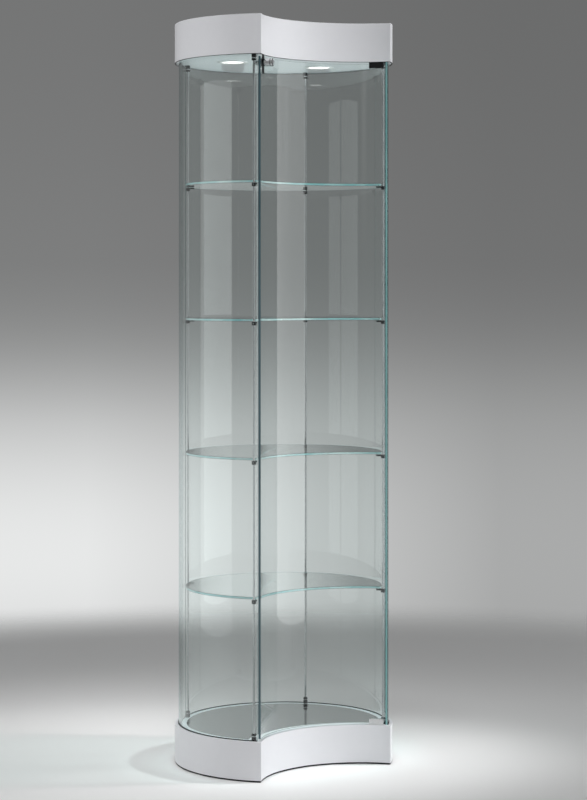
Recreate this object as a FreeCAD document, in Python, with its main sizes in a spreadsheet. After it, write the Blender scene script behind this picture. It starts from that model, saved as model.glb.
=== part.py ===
import FreeCAD, Part
import os
import re
import Sketcher
from FreeCAD import Placement, Rotation, Vector

# Round glass display case with a concave door. Millimetres, +Z up, the door faces -Y.
# The plan is a circle with a round bite out of its front. The origin is on the floor, in the middle of
# the footprint, so the centre of the circle stands at centre_y.

doc = FreeCAD.newDocument("display_case")
sheet = doc.addObject("Spreadsheet::Sheet", "Sheet")

DRIVING = {
    # plan
    "case_radius": 285,
    "bite_radius": 258,
    "bite_distance": 370,
    "centre_y": -40,
    # heights
    "total_height": 1924,
    "glide_height": 4,
    "plinth_top": 101,
    "cap_bottom": 1824,
    # boards and skins
    "skin_thick": 3,
    "deck_thick": 20,
    "base_thick": 16,
    "ceiling_thick": 16,
    "top_thick": 16,
    "ceiling_recess": 1,
    # fixed glass
    "glass_thick": 6,
    "glass_inset": 10,
    "groove_play": 0.5,
    "groove_depth": 10,
    "front_edge_angle": 46.7,
    "seam_angle": 135,
    "seam_half_angle": 0.2,
    # mirror floor
    "mirror_radius": 254,
    "mirror_bite": 298,
    "mirror_thick": 4,
    "mirror_play": 0.5,
    # uprights
    "rod_circle": 262,
    "rod_radius": 3,
    "rod_play": 0.1,
    "rod_chamfer": 0.8,
    "rod_tail": 14,
    "front_rod_angle": 49.1,
    "back_rod_angle": 135,
    "ferrule_radius": 6,
    "ferrule_height": 17,
    "ferrule_lip": 1.5,
    "nut_radius": 6,
    "nut_height": 8,
    # shelves
    "shelf_radius": 257,
    "shelf_bite": 275.5,
    "shelf_thick": 6,
    "first_shelf": 460,
    "shelf_pitch": 349.5,
    "clip_radius": 5.5,
    "clip_height": 9,
    "tongue_width": 8,
    "tongue_reach": 18,
    "tongue_thick": 4,
    "tongue_round": 3,
    "pad_radius": 3,
    "pad_thick": 1,
    "pad_reach": 13,
    # door
    "door_inset": 3.5,
    "door_free_angle": 47,
    "pivot_angle": 45,
    "door_tail": 5.5,
    "door_edge_gap": 5.5,
    "clamp_gap": 1,
    "clamp_height": 15,
    "clamp_half": 6.5,
    "clamp_tail": 4,
    "clamp_length": 38,
    "clamp_web": 4,
    "clamp_pad": 0.7,
    "jaw_sweep": 40,
    "clamp_round": 1.2,
    "pin_radius": 2.5,
    "pin_play": 0.05,
    "pin_depth": 12,
    "pin_chamfer": 0.5,
    "bush_radius": 3.3,
    "bush_depth": 14,
    # lock
    "lock_angle": 42,
    "lock_drop": 20,
    "plate_half_angle": 1.9,
    "plate_thick": 1.5,
    "plate_height": 46,
    "plate_gap": 1,
    "barrel_radius": 10,
    "barrel_length": 26.5,
    "barrel_edge": 1.5,
    "shank_radius": 6.5,
    "shank_play": 0.3,
    "shank_reach": 10,
    "fixing_radius": 11,
    "fixing_thick": 4,
    "plug_radius": 5,
    "plug_play": 0.05,
    "plug_proud": 1,
    "key_width": 1.8,
    "key_height": 7,
    "key_depth": 8,
    "cam_gap": 2,
    "cam_thick": 2.5,
    "cam_half": 5,
    "cam_reach": 30,
    "slot_depth": 10,
    "slot_play": 1,
    "slot_sweep": 7.4,
    "slot_lean": 2,
    # lights
    "lamp_offset": 133,
    "lamp_back": 37,
    "bezel_radius": 40,
    "bezel_thick": 3,
    "bezel_edge": 1.5,
    "lens_radius": 31,
    "lens_rest": 1,
    "lens_thick": 3,
    "can_radius": 33,
    "can_wall": 1.5,
    "can_height": 34,
    "can_play": 0.5,
    "driver_length": 120,
    "driver_width": 46,
    "driver_height": 28,
    "driver_round": 3,
    "lead_radius": 2.5,
    "grommet_bore": 4,
    "grommet_neck": 6,
    "grommet_flange": 9,
    "grommet_lip": 1.5,
    "grommet_seat": 0.2,
    "grommet_drop": 40,
    # hidden supports
    "glide_radius": 14,
    "glide_edge": 0.8,
    "glide_circle": 235,
    "block_size": 45,
    "block_circle": 222,
    "front_block_circle": 84,
}
for row, (alias, value) in enumerate(DRIVING.items(), 1):
    sheet.set(f"A{row}", alias.replace("_", " "))
    sheet.set(f"B{row}", str(value))
    sheet.setAlias(f"B{row}", alias)
doc.recompute()

CORNERS = {
    "front_left": "-front_rod_angle",
    "front_right": "front_rod_angle",
    "back_left": "-back_rod_angle",
    "back_right": "back_rod_angle",
}
SHELF_COUNT = 4
pieces = []


# Formulas, sketches and features

def formula(text):
    # the cells' aliases are all the words that have an underscore
    return re.sub(r"[a-z]+(?:_[a-z]+)+", lambda word: f"Sheet.{word.group()}", str(text))


def number(text):
    return float(sheet.evalExpression(formula(text)))


def bind(thing, path, text):
    thing.setExpression(path, formula(text))


def place(thing, x="0", y="centre_y", z="0", turn="0"):
    thing.Placement = Placement(Vector(), Rotation(Vector(0, 0, 1), number(turn) or 1))
    bind(thing, "Placement.Rotation.Angle", f"({turn}) * 1 deg")
    for axis, text in zip("xyz", (x, y, z)):
        bind(thing, f"Placement.Base.{axis}", text)


def new_body(name, x="0", y="centre_y", z="0", turn="0"):
    body = doc.addObject("PartDesign::Body", name)
    place(body, x, y, z, turn)
    return body


def keep(thing, label):
    # a finished sub-part, whose label names its file
    thing.Label = label
    pieces.append(thing)
    return thing


def group(label, members):
    # separate solids that share one node
    bundle = doc.addObject("Part::Compound", label)
    bundle.Links = members
    return keep(bundle, label)


def new_sketch(body, role="XY_Plane", lift="0", turn="0"):
    # lift moves the sketch along its normal, turn swings an upright sketch about the vertical
    sketch = body.newObject("Sketcher::SketchObject", "Sketch")
    sketch.AttachmentSupport = (next(f for f in body.Origin.OriginFeatures if f.Role == role), "")
    sketch.MapMode = "FlatFace"
    if turn != "0":
        sketch.AttachmentOffset = Placement(Vector(), Rotation(Vector(0, 1, 0), number(turn)))
        bind(sketch, "AttachmentOffset.Rotation.Angle", f"({turn}) * 1 deg")
    bind(sketch, "AttachmentOffset.Base.z", lift)
    return sketch


def measure(sketch, kind, places, text):
    index = sketch.addConstraint(Sketcher.Constraint(kind, *places, number(text)))
    bind(sketch, f"Constraints[{index}]", text)


def hold_point(sketch, edge, point, x, y):
    # a point at x, y from the sketch's origin
    for kind, text, axis in (("DistanceX", x, -2), ("DistanceY", y, -1)):
        if number(text) == 0:
            sketch.addConstraint(Sketcher.Constraint("PointOnObject", edge, point, axis))
        else:
            measure(sketch, kind, (-1, 1, edge, point), text)


def draw_plan(sketch, radius, bite):
    # an arc round the back and the bite's hollow arc, which meet at the two front corners
    big, small, apart = number(radius), number(bite), number("bite_distance")
    depth = (big**2 - small**2 + apart**2) / (2 * apart)
    half = (big**2 - depth**2) ** 0.5
    right, left = Vector(half, -depth), Vector(-half, -depth)
    sketch.addGeometry(Part.Arc(right, Vector(0, big), left))
    sketch.addGeometry(Part.Arc(right, Vector(0, small - apart), left))
    sketch.addConstraint(Sketcher.Constraint("Coincident", 0, 3, -1, 1))
    hold_point(sketch, 1, 3, "0", "-bite_distance")
    sketch.addConstraint(Sketcher.Constraint("Coincident", 0, 1, 1, 1))
    sketch.addConstraint(Sketcher.Constraint("Coincident", 0, 2, 1, 2))
    measure(sketch, "Radius", (0,), radius)
    measure(sketch, "Radius", (1,), bite)
    return sketch


def draw_polygon(sketch, points):
    spots = [Vector(number(x), number(y)) for x, y in points]
    count = len(points)
    for n in range(count):
        sketch.addGeometry(Part.LineSegment(spots[n], spots[(n + 1) % count]))
    for n, (x, y) in enumerate(points):
        sketch.addConstraint(Sketcher.Constraint("Coincident", (n - 1) % count, 2, n, 1))
        hold_point(sketch, n, 1, x, y)
    return sketch


def draw_box(sketch, left, right, low, high):
    return draw_polygon(sketch, [(left, low), (right, low), (right, high), (left, high)])


def draw_circle(sketch, x, y, radius):
    edge = sketch.addGeometry(Part.Circle(Vector(number(x), number(y)), Vector(0, 0, 1), number(radius)))
    hold_point(sketch, edge, 3, x, y)
    measure(sketch, "Radius", (edge,), radius)
    return sketch


def add_feature(body, kind, sketch):
    feature = body.newObject(f"PartDesign::{kind}", kind)
    feature.Profile = sketch
    return feature


def pad(body, sketch, length):
    bind(add_feature(body, "Pad", sketch), "Length", length)
    doc.recompute()


def finish_cut(body, volume):
    # a cut that points away from the solid takes nothing, and shows no error
    doc.recompute()
    if body.Shape.Volume > volume - 1e-3:
        raise RuntimeError(f"a cut in {body.Name} takes nothing away")


def pocket(body, sketch, depth, upwards=False):
    volume = body.Shape.Volume
    feature = add_feature(body, "Pocket", sketch)
    feature.Reversed = upwards
    bind(feature, "Length", depth)
    finish_cut(body, volume)


def revolve(body, sketch, angle, axis="V_Axis"):
    # as far to one side of the sketch as to the other
    feature = add_feature(body, "Revolution", sketch)
    feature.ReferenceAxis = (sketch, [axis])
    feature.Midplane = True
    bind(feature, "Angle", f"({angle}) * 1 deg")
    doc.recompute()


def groove(body, sketch, angle):
    volume = body.Shape.Volume
    feature = add_feature(body, "Groove", sketch)
    feature.ReferenceAxis = (sketch, ["V_Axis"])
    feature.Midplane = True
    bind(feature, "Angle", f"({angle}) * 1 deg")
    finish_cut(body, volume)


def round_uprights(body, radius):
    # round the upright edges of a straight-sided pad
    tip = body.Tip
    names = []
    for n, edge in enumerate(tip.Shape.Edges, 1):
        run = edge.Vertexes[-1].Point - edge.Vertexes[0].Point
        if abs(run.z) > 0.99 * edge.Length:
            names.append(f"Edge{n}")
    feature = body.newObject("PartDesign::Fillet", "Fillet")
    feature.Base = (tip, names)
    bind(feature, "Radius", radius)
    doc.recompute()


def turned(name, profile, x="0", y="centre_y", z="0", turn="0", axis="V_Axis"):
    # half a section: pairs of radius and height, or of length and radius about a level axis
    body = new_body(name, x, y, z, turn)
    revolve(body, draw_polygon(new_sketch(body, "XZ_Plane"), profile), "360", axis)
    return body


def polar(circle, angle):
    # a point of a circle about the case's centre, at an angle from the front
    return f"({circle}) * sin(({angle}) * 1 deg)", f"centre_y - ({circle}) * cos(({angle}) * 1 deg)"


def from_centre(spot):
    # the same point as a sketch of the plan counts it
    return spot[0], f"{spot[1]} - centre_y"


# Shared places

CEILING = "cap_bottom + ceiling_recess"
BOARD_PLAN = ("case_radius - skin_thick", "bite_radius + skin_thick")
DOOR_AXIS = "centre_y - bite_distance"
DOOR_FACE = "bite_radius + door_inset"
DOOR_BACK = f"{DOOR_FACE} + glass_thick"
PIVOT_CIRCLE = f"({DOOR_FACE} + glass_thick / 2)"
PIVOT = (
    f"{PIVOT_CIRCLE} * sin(pivot_angle * 1 deg)",
    f"{DOOR_AXIS} + {PIVOT_CIRCLE} * cos(pivot_angle * 1 deg)",
)
TAIL_ANGLE = f"(pivot_angle + door_tail / {PIVOT_CIRCLE} * 180 / pi)"
LOCK_TURN = "90 + lock_angle"
LOCK_LEVEL = "cap_bottom - lock_drop"
RODS = {corner: polar("rod_circle", angle) for corner, angle in CORNERS.items()}
LAMP_LINE = "centre_y + lamp_back"
LAMPS = {"left": ("-lamp_offset", LAMP_LINE), "right": ("lamp_offset", LAMP_LINE)}
SPACERS = {
    "left": ("block_circle", "-100"),
    "right": ("block_circle", "100"),
    "back": ("block_circle", "180"),
    "front": ("front_block_circle", "0"),
}


# Plinth and cap: two shaped boards each, held apart by blocks, with a bent skin round them

def make_skin(label, low, high):
    body = new_body(label, z=low)
    height = f"{high} - {low}"
    pad(body, draw_plan(new_sketch(body), "case_radius", "bite_radius"), height)
    pocket(body, draw_plan(new_sketch(body), *BOARD_PLAN), height, upwards=True)
    return keep(body, label)


def make_board(label, low, thick):
    body = new_body(label, z=low)
    pad(body, draw_plan(new_sketch(body), *BOARD_PLAN), thick)
    return keep(body, label)


def cut_glass_groove(body, low, high):
    # from one front corner round the back to the other
    inner = "case_radius - glass_inset - glass_thick - groove_play"
    outer = "case_radius - glass_inset + groove_play"
    section = draw_box(new_sketch(body, "YZ_Plane"), inner, outer, low, high)
    groove(body, section, "360 - 2 * (front_edge_angle - seam_half_angle)")


def drill(body, lift, spots, radius, depth, upwards=False):
    sketch = new_sketch(body, lift=lift)
    for spot in spots:
        draw_circle(sketch, *from_centre(spot), radius)
    pocket(body, sketch, depth, upwards)


def make_spacers(name, low, high):
    blocks = []
    for side, (circle, angle) in SPACERS.items():
        x, y = polar(circle, angle)
        block = doc.addObject("Part::Box", f"{name}_block_{side}")
        bind(block, "Length", "block_size")
        bind(block, "Width", "block_size")
        bind(block, "Height", f"{high} - ({low})")
        place(block, f"{x} - block_size / 2", f"{y} - block_size / 2", low)
        blocks.append(block)
    group(f"{name}_spacers", blocks)


def make_plinth():
    make_skin("plinth_skin", "glide_height", "plinth_top")
    make_board("plinth_base_board", "glide_height", "base_thick")
    deck = make_board("plinth_deck", "plinth_top - deck_thick", "deck_thick")
    cut_glass_groove(deck, "deck_thick - groove_depth", "deck_thick")
    recess = new_sketch(deck, lift="deck_thick")
    draw_plan(recess, "mirror_radius + mirror_play", "mirror_bite - mirror_play")
    pocket(deck, recess, "mirror_thick")
    drill(deck, "deck_thick", RODS.values(), "rod_radius + rod_play", "deck_thick")
    drill(deck, "deck_thick", [PIVOT], "bush_radius", "bush_depth")
    make_spacers("plinth", "glide_height + base_thick", "plinth_top - deck_thick")

    mirror = new_body("floor_mirror", z="plinth_top - mirror_thick")
    pad(mirror, draw_plan(new_sketch(mirror), "mirror_radius", "mirror_bite"), "mirror_thick")
    keep(mirror, "floor_mirror")

    foot = [("0", "0"), ("glide_radius - glide_edge", "0"), ("glide_radius", "glide_edge")]
    foot += [("glide_radius", "glide_height"), ("0", "glide_height")]
    glides = []
    for corner, angle in CORNERS.items():
        glides.append(turned(f"glide_{corner}", foot, *polar("glide_circle", angle)))
    group("floor_glides", glides)


def make_cap():
    shell = make_skin("cap_skin", "cap_bottom", "total_height")
    hole = new_sketch(shell, "XZ_Plane")
    draw_circle(hole, "0", "total_height - cap_bottom - grommet_drop", "grommet_neck")
    pocket(shell, hole, "case_radius + skin_thick")
    make_board("cap_top_board", "total_height - top_thick", "top_thick")
    ceiling = make_board("cap_ceiling", CEILING, "ceiling_thick")
    cut_glass_groove(ceiling, "0", "groove_depth")
    drill(ceiling, "0", RODS.values(), "rod_radius + rod_play", "ceiling_thick", upwards=True)
    drill(ceiling, "0", LAMPS.values(), "can_radius + can_play", "ceiling_thick", upwards=True)
    drill(ceiling, "0", [PIVOT], "bush_radius", "bush_depth", upwards=True)
    # the slot that the lock's cam turns up into follows the door's curve
    slot = new_sketch(ceiling, "XZ_Plane", "bite_distance", f"{LOCK_TURN} - slot_lean")
    near = f"{DOOR_BACK} + shank_reach + cam_gap"
    draw_box(slot, f"{near} - slot_play", f"{near} + cam_thick + slot_play", "0", "slot_depth")
    groove(ceiling, slot, "slot_sweep")
    make_spacers("cap", f"{CEILING} + ceiling_thick", "total_height - top_thick")

    inside = "case_radius - skin_thick - grommet_seat"
    bush = [("case_radius + grommet_lip", "grommet_bore"), ("case_radius + grommet_lip", "grommet_flange")]
    bush += [("case_radius", "grommet_flange"), ("case_radius", "grommet_neck"), (inside, "grommet_neck")]
    bush += [(inside, "grommet_flange"), (f"{inside} - grommet_lip", "grommet_flange")]
    bush += [(f"{inside} - grommet_lip", "grommet_bore")]
    level = "total_height - grommet_drop"
    keep(turned("cable_grommet", bush, z=level, turn="90", axis="H_Axis"), "cable_grommet")


# Downlights, their driver and leads

def make_lights():
    bore = "lens_radius - lens_rest"
    rim = [(bore, "bezel_thick"), (f"{bore} + lens_rest", "0"), ("bezel_radius - bezel_edge", "0")]
    rim += [("bezel_radius", "bezel_edge"), ("bezel_radius", "bezel_thick")]
    lens = [("0", "0"), ("lens_radius", "0"), ("lens_radius", "lens_thick"), ("0", "lens_thick")]
    shell = "can_radius - can_wall"
    can = [(shell, "0"), ("can_radius", "0"), ("can_radius", "can_height"), ("0", "can_height")]
    can += [("0", "can_height - can_wall"), (shell, "can_height - can_wall")]
    lead = [("driver_length / 2", "0"), ("lamp_offset - can_radius", "0")]
    lead += [("lamp_offset - can_radius", "lead_radius"), ("driver_length / 2", "lead_radius")]
    floor = f"{CEILING} + ceiling_thick"
    for side, spot in LAMPS.items():
        keep(turned(f"bezel_{side}", rim, *spot, f"{CEILING} - bezel_thick"), f"downlight_bezel_{side}")
        keep(turned(f"lens_{side}", lens, *spot, CEILING), f"downlight_lens_{side}")
        keep(turned(f"can_{side}", can, *spot, CEILING), f"downlight_can_{side}")
        way = "0" if side == "right" else "180"
        level = f"{floor} + lead_radius"
        cable = turned(f"lead_{side}", lead, y=LAMP_LINE, z=level, turn=way, axis="H_Axis")
        keep(cable, f"downlight_lead_{side}")
    driver = new_body("driver", y=LAMP_LINE, z=floor)
    sides = ("-driver_length / 2", "driver_length / 2", "-driver_width / 2", "driver_width / 2")
    pad(driver, draw_box(new_sketch(driver), *sides), "driver_height")
    round_uprights(driver, "driver_round")
    keep(driver, "lamp_driver")


# Uprights, with a ferrule and a nut at each end

def make_uprights():
    low, high = "plinth_top - deck_thick - rod_tail", f"{CEILING} + ceiling_thick + rod_tail"
    rod = [("0", low), ("rod_radius - rod_chamfer", low), ("rod_radius", f"{low} + rod_chamfer")]
    rod += [("rod_radius", f"{high} - rod_chamfer"), ("rod_radius - rod_chamfer", high), ("0", high)]
    bore = "rod_radius + rod_play"
    waist = "ferrule_radius - ferrule_lip"
    lower = [(bore, "0"), ("ferrule_radius", "0"), ("ferrule_radius", "ferrule_height - ferrule_lip")]
    lower += [(waist, "ferrule_height"), (bore, "ferrule_height")]
    upper = [(radius, f"ferrule_height - ({height})") for radius, height in lower]
    ends = {"lower": ([], lower, "plinth_top", "plinth_top - deck_thick - nut_height")}
    ends["upper"] = ([], upper, f"{CEILING} - ferrule_height", f"{CEILING} + ceiling_thick")
    nuts = {end: [] for end in ends}
    for corner, spot in RODS.items():
        keep(turned(f"rod_{corner}", rod, *spot), f"upright_{corner}")
        for end, (ferrules, profile, level, nut_level) in ends.items():
            ferrules.append(turned(f"ferrule_{end}_{corner}", profile, *spot, level))
            nuts[end].append(make_nut(f"nut_{end}_{corner}", spot, nut_level))
    for end in ends:
        group(f"upright_ferrules_{end}", ends[end][0])
        group(f"upright_nuts_{end}", nuts[end])


def make_nut(name, spot, level):
    blank = doc.addObject("Part::Prism", f"{name}_blank")
    blank.Polygon = 6
    bind(blank, "Circumradius", "nut_radius")
    bore = doc.addObject("Part::Cylinder", f"{name}_bore")
    bind(bore, "Radius", "rod_radius + rod_play")
    for solid in (blank, bore):
        bind(solid, "Height", "nut_height")
    nut = doc.addObject("Part::Cut", name)
    nut.Base, nut.Tool = blank, bore
    place(nut, *spot, level)
    return nut


# Shelves on clips that grip the uprights

def make_clip(name, spot, level, angle):
    clip = new_body(name, *spot, level, f"90 + {angle}")
    sides = ("0", "tongue_reach", "-tongue_width / 2", "tongue_width / 2")
    tongue = new_sketch(clip, lift="clip_height - tongue_thick")
    pad(clip, draw_box(tongue, *sides), "tongue_thick")
    round_uprights(clip, "tongue_round")
    pad(clip, draw_circle(new_sketch(clip), "0", "0", "clip_radius"), "clip_height")
    bore = new_sketch(clip, lift="clip_height")
    pocket(clip, draw_circle(bore, "0", "0", "rod_radius + rod_play"), "clip_height")
    return clip


def make_shelves():
    disc = [("0", "0"), ("pad_radius", "0"), ("pad_radius", "pad_thick"), ("0", "pad_thick")]
    for n in range(SHELF_COUNT):
        name = f"shelf_{n + 1}"
        level = f"first_shelf + {n} * shelf_pitch - shelf_thick"
        shelf = new_body(name, z=level)
        pad(shelf, draw_plan(new_sketch(shelf), "shelf_radius", "shelf_bite"), "shelf_thick")
        keep(shelf, name)
        clips, pads = [], []
        for corner, angle in CORNERS.items():
            clip_level = f"{level} - pad_thick - clip_height"
            clips.append(make_clip(f"{name}_clip_{corner}", RODS[corner], clip_level, angle))
            spot = polar("rod_circle - pad_reach", angle)
            pads.append(turned(f"{name}_pad_{corner}", disc, *spot, f"{level} - pad_thick"))
        group(f"{name}_clips", clips)
        group(f"{name}_pads", pads)


# Fixed bent-glass panels

def make_panels():
    side_middle = "(front_edge_angle + seam_angle - seam_half_angle) / 2"
    side_sweep = "seam_angle - seam_half_angle - front_edge_angle"
    layout = {
        "glass_left": (f"180 - {side_middle}", side_sweep),
        "glass_back": ("0", "360 - 2 * (seam_angle + seam_half_angle)"),
        "glass_right": (f"{side_middle} - 180", side_sweep),
    }
    outer = "case_radius - glass_inset"
    low, high = "plinth_top - groove_depth", "cap_bottom + groove_depth - groove_play"
    for label, (turn, sweep) in layout.items():
        panel = new_body(label, turn=turn)
        section = draw_box(new_sketch(panel, "YZ_Plane"), f"{outer} - glass_thick", outer, low, high)
        revolve(panel, section, sweep)
        keep(panel, label)


# Concave door on two pivot clamps

def make_door():
    low, high = "plinth_top + door_edge_gap", "cap_bottom - door_edge_gap"
    door = new_body("door_glass", y=DOOR_AXIS)
    section = new_sketch(door, "XZ_Plane", turn=f"90 + (door_free_angle - {TAIL_ANGLE}) / 2")
    revolve(door, draw_box(section, DOOR_FACE, DOOR_BACK, low, high), f"door_free_angle + {TAIL_ANGLE}")
    hole = new_sketch(door, "YZ_Plane", turn=LOCK_TURN)
    draw_circle(hole, "0", LOCK_LEVEL, "shank_radius + shank_play")
    pocket(door, hole, "case_radius + bite_radius", upwards=True)
    keep(door, "door_glass")

    foot = "plinth_top + clamp_gap"
    head = "cap_bottom - clamp_gap - clamp_height"
    make_clamp("lower", foot, "clamp_web", "clamp_height")
    make_clamp("upper", head, "0", "clamp_height - clamp_web")
    make_pivot("lower", "plinth_top - pin_depth", f"{foot} + clamp_web", "plinth_top - bush_depth")
    make_pivot("upper", f"{head} + clamp_height - clamp_web", f"{CEILING} + pin_depth", CEILING)


def make_clamp(end, level, slot_low, slot_high):
    clamp = new_body(f"clamp_{end}", y=DOOR_AXIS, z=level, turn="90 - pivot_angle")
    across = (f"{PIVOT_CIRCLE} - clamp_half", f"{PIVOT_CIRCLE} + clamp_half")
    along = ("-clamp_tail", "clamp_length - clamp_tail")
    pad(clamp, draw_box(new_sketch(clamp), *across, *along), "clamp_height")
    round_uprights(clamp, "clamp_round")
    # the jaws are cut to the glass's curve, with room for the pads
    jaw_face, jaw_back = f"{DOOR_FACE} - clamp_pad", f"{DOOR_BACK} + clamp_pad"
    jaw = draw_box(new_sketch(clamp, "XZ_Plane"), jaw_face, jaw_back, slot_low, slot_high)
    groove(clamp, jaw, "jaw_sweep")
    pin_hole = draw_circle(new_sketch(clamp, lift="clamp_height"), PIVOT_CIRCLE, "0", "pin_radius")
    pocket(clamp, pin_hole, "clamp_height")
    keep(clamp, f"hinge_clamp_{end}")

    pads = []
    middle = f"90 - pivot_angle + (clamp_length / 2 - clamp_tail) / {PIVOT_CIRCLE} * 180 / pi"
    sweep = f"(clamp_length - 2 * clamp_tail) / {PIVOT_CIRCLE} * 180 / pi"
    for side, inner, outer in (("face", jaw_face, DOOR_FACE), ("back", DOOR_BACK, jaw_back)):
        liner = new_body(f"clamp_pad_{end}_{side}", y=DOOR_AXIS, z=level, turn=middle)
        heights = (f"{slot_low} + clamp_pad", f"{slot_high} - clamp_pad")
        revolve(liner, draw_box(new_sketch(liner, "XZ_Plane"), inner, outer, *heights), sweep)
        pads.append(liner)
    group(f"hinge_pads_{end}", pads)


def make_pivot(end, pin_low, pin_high, bush_low):
    neck = "pin_radius - pin_chamfer"
    pin = [("0", pin_low), (neck, pin_low), ("pin_radius", f"{pin_low} + pin_chamfer")]
    pin += [("pin_radius", f"{pin_high} - pin_chamfer"), (neck, pin_high), ("0", pin_high)]
    keep(turned(f"pin_{end}", pin, *PIVOT), f"hinge_pin_{end}")
    bore = "pin_radius + pin_play"
    bush = [(bore, "0"), ("bush_radius", "0"), ("bush_radius", "bush_depth"), (bore, "bush_depth")]
    keep(turned(f"bush_{end}", bush, *PIVOT, bush_low), f"hinge_bush_{end}")


# Cam lock through the door glass. Lengths run from the bite's centre through the glass into the case.

def lock_turned(name, profile):
    return turned(name, profile, y=DOOR_AXIS, z=LOCK_LEVEL, turn=LOCK_TURN, axis="H_Axis")


def make_lock():
    plate_face = f"{DOOR_FACE} - plate_thick"
    tip = f"{plate_face} - barrel_length"
    end = f"{DOOR_BACK} + shank_reach"

    plate = new_body("lock_plate", y=DOOR_AXIS, z=LOCK_LEVEL, turn=LOCK_TURN)
    heights = ("lock_drop - plate_gap - plate_height", "lock_drop - plate_gap")
    section = draw_box(new_sketch(plate, "XZ_Plane"), plate_face, DOOR_FACE, *heights)
    revolve(plate, section, "2 * plate_half_angle")
    hole = draw_circle(new_sketch(plate, "YZ_Plane"), "0", "0", "shank_radius + shank_play")
    pocket(plate, hole, "case_radius", upwards=True)
    keep(plate, "lock_back_plate")

    inner = f"{tip} + barrel_edge"
    # the flat shoulder meets the hollow plate at its two sides
    shoulder = f"({plate_face}) * cos(plate_half_angle * 1 deg)"
    barrel = [(tip, "plug_radius"), (tip, "barrel_radius - barrel_edge"), (inner, "barrel_radius")]
    barrel += [(shoulder, "barrel_radius"), (shoulder, "shank_radius"), (end, "shank_radius")]
    barrel += [(end, "plug_radius")]
    keep(lock_turned("barrel", barrel), "lock_barrel")

    bore, outer_face = "shank_radius + shank_play", f"{DOOR_BACK} + fixing_thick"
    ring = [(DOOR_BACK, bore), (DOOR_BACK, "fixing_radius")]
    ring += [(outer_face, "fixing_radius"), (outer_face, bore)]
    keep(lock_turned("fixing", ring), "lock_fixing_ring")

    rim = "plug_radius - plug_play"
    nose, cam_seat = f"{tip} - plug_proud", f"{end} + cam_gap"
    plug = lock_turned("plug", [(nose, "0"), (nose, rim), (cam_seat, rim), (cam_seat, "0")])
    keyhole = new_sketch(plug, "YZ_Plane", nose)
    draw_box(keyhole, "-key_width / 2", "key_width / 2", "-key_height / 2", "key_height / 2")
    pocket(plug, keyhole, "key_depth", upwards=True)
    keep(plug, "lock_plug")

    cam = new_body("cam", y=DOOR_AXIS, z=LOCK_LEVEL, turn=LOCK_TURN)
    outline = new_sketch(cam, "YZ_Plane", cam_seat)
    draw_box(outline, "-cam_reach", "cam_half", "-cam_half", "cam_half")
    pad(cam, outline, "cam_thick")
    keep(cam, "lock_cam")


def check_and_write():
    doc.recompute()
    for thing in doc.Objects:
        if "Invalid" in thing.State or "Error" in thing.State:
            raise RuntimeError(f"{thing.Label} failed to build: {thing.State}")
    os.makedirs("parts", exist_ok=True)
    for piece in pieces:
        shape = piece.Shape
        if shape.isNull() or not shape.isValid() or not shape.Solids:
            raise RuntimeError(f"{piece.Label} has no valid solid")
        shape.exportStep(f"parts/{piece.Label}.step")
    print(len(pieces), "sub-parts written")


make_plinth()
make_cap()
make_lights()
make_uprights()
make_shelves()
make_panels()
make_door()
make_lock()
check_and_write()
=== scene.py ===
import bpy
import math
from mathutils import Matrix, Vector


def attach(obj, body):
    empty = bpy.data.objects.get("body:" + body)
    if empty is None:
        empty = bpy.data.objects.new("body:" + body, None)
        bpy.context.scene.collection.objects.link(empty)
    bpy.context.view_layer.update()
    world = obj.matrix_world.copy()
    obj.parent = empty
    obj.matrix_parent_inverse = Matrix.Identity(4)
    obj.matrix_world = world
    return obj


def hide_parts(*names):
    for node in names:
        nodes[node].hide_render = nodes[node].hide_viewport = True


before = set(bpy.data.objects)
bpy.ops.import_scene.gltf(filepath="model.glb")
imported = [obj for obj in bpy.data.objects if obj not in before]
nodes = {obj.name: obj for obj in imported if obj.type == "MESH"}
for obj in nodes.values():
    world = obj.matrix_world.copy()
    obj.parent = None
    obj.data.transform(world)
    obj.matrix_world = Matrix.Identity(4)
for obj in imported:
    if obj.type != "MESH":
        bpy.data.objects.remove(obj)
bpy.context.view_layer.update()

# plan of the case: a circle with a round bite out of its front, in metres
plan = {
    "caseY": -0.040,
    "caseRadius": 0.2849,
    "biteY": -0.410,
    "biteRadius": 0.258,
    "plinthTop": 0.101,
    "capBottom": 1.824,
    "ceiling": 1.825,
    "steps": 240,
}
mm = 0.001


# Modelling helpers

def clearSelection():
    if bpy.context.object and bpy.context.object.mode != "OBJECT":
        bpy.ops.object.mode_set(mode="OBJECT")
    bpy.ops.object.select_all(action="DESELECT")


def pick(*objs):
    clearSelection()
    for obj in objs:
        obj.select_set(True)
    bpy.context.view_layer.objects.active = objs[0]


def freeze(obj, name):
    # the object's place goes into its mesh
    pick(obj)
    bpy.ops.object.transform_apply(location=True, rotation=True, scale=True)
    obj.name = name
    obj.data.name = name
    return obj


def applyAll(obj):
    pick(obj)
    for modifier in list(obj.modifiers):
        bpy.ops.object.modifier_apply(modifier=modifier.name)


def combine(obj, tool, operation="DIFFERENCE"):
    cut = obj.modifiers.new("combine", "BOOLEAN")
    cut.operation = operation
    cut.solver = "EXACT"
    cut.object = tool
    applyAll(obj)
    bpy.data.objects.remove(tool)
    return obj


def breakEdges(obj, width, segments=2, angle=40, smooth=30):
    # a fine bevel on every sharp edge
    arris = obj.modifiers.new("arris", "BEVEL")
    arris.width = width
    arris.segments = segments
    arris.limit_method = "ANGLE"
    arris.angle_limit = math.radians(angle)
    applyAll(obj)
    bpy.ops.object.shade_smooth_by_angle(angle=math.radians(smooth))
    flat = obj.modifiers.new("flat", "WEIGHTED_NORMAL")  # large faces stay flat beside the bevel
    flat.keep_sharp = True
    applyAll(obj)
    return obj


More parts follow.
